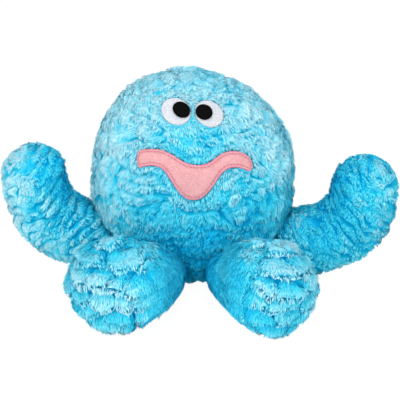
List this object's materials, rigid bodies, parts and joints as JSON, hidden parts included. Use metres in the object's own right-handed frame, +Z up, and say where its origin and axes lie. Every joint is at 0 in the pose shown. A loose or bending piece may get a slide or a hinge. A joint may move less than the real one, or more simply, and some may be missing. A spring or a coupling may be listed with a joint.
{
  "type": "plush octopus pet toy",
  "caption": "Soft tufted plush octopus with a round body, raised arms, fat feet, felt eyes and a wavy felt mouth, sitting upright.",
  "frame": {"origin": "middle of the flat seat under the body, on the surface that the toy sits on", "axes": "+Z up, -Y is where the face looks and the feet point, +X along the arms to the right of someone who looks at the face"},
  "size_m": [0.2831, 0.2212, 0.1517],
  "materials": {
    "plush": "tufted long-pile faux fur, sky blue, matt with silky tips",
    "white_felt": "white felt, matt",
    "black_felt": "black felt, matt",
    "pink_felt": "pink felt with a soft nap, matt",
    "pink_thread": "darker pink sewing thread"
  },
  "bodies": {
    "root": {"body": "plush", "arm_left": "plush", "arm_right": "plush", "leg_left": "plush", "leg_right": "plush", "eye_white_left": "white_felt", "eye_white_right": "white_felt", "pupil_left": "black_felt", "pupil_right": "black_felt", "mouth": "pink_felt", "mouth_stitching": "pink_thread"}
  },
  "joints": []
}
